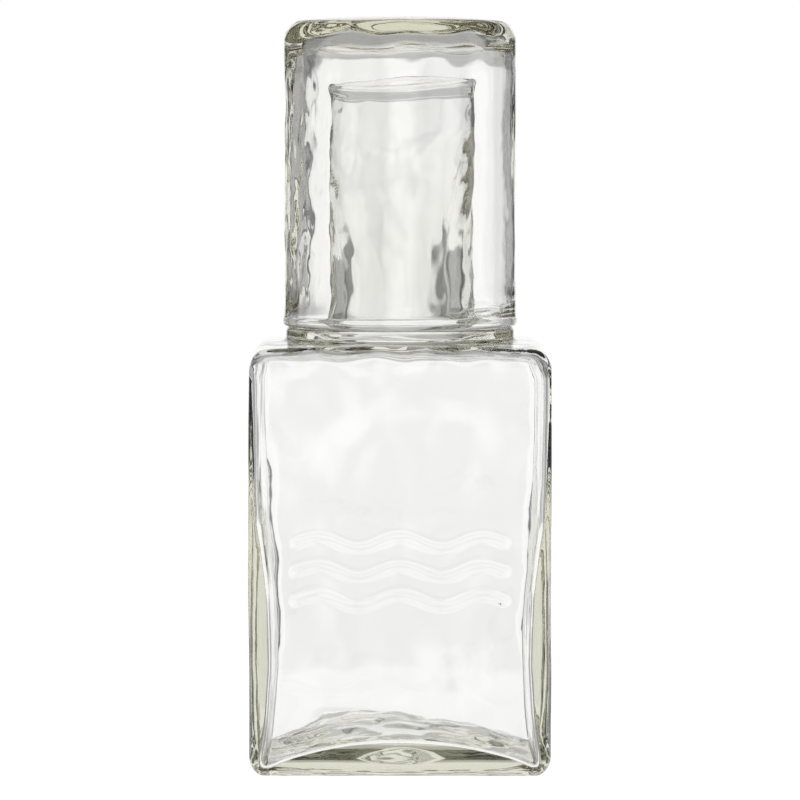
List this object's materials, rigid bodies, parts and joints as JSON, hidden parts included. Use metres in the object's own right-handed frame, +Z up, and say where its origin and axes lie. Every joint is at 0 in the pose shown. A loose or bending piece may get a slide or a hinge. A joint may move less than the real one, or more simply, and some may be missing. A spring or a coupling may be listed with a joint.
{
  "type": "bedside carafe with tumbler",
  "caption": "Square clear-glass bedside carafe with a round neck, and a straight glass tumbler worn upside down as its lid.",
  "frame": {"origin": "centre of the foot, on the surface it stands on", "axes": "+Z up along the neck, front face with the raised waves towards -Y, +X to the right seen from the front"},
  "size_m": [0.1, 0.1012, 0.2509],
  "materials": {
    "carafe_glass": "gloss",
    "tumbler_glass": "gloss"
  },
  "bodies": {
    "carafe": {"carafe": "carafe_glass"},
    "tumbler": {"tumbler": "tumbler_glass"}
  },
  "joints": [
    {"name": "tumbler_lift", "type": "slide", "parent": "carafe", "child": "tumbler", "axis": [0, 0, 1], "range_m": [0, 0.1]}
  ]
}
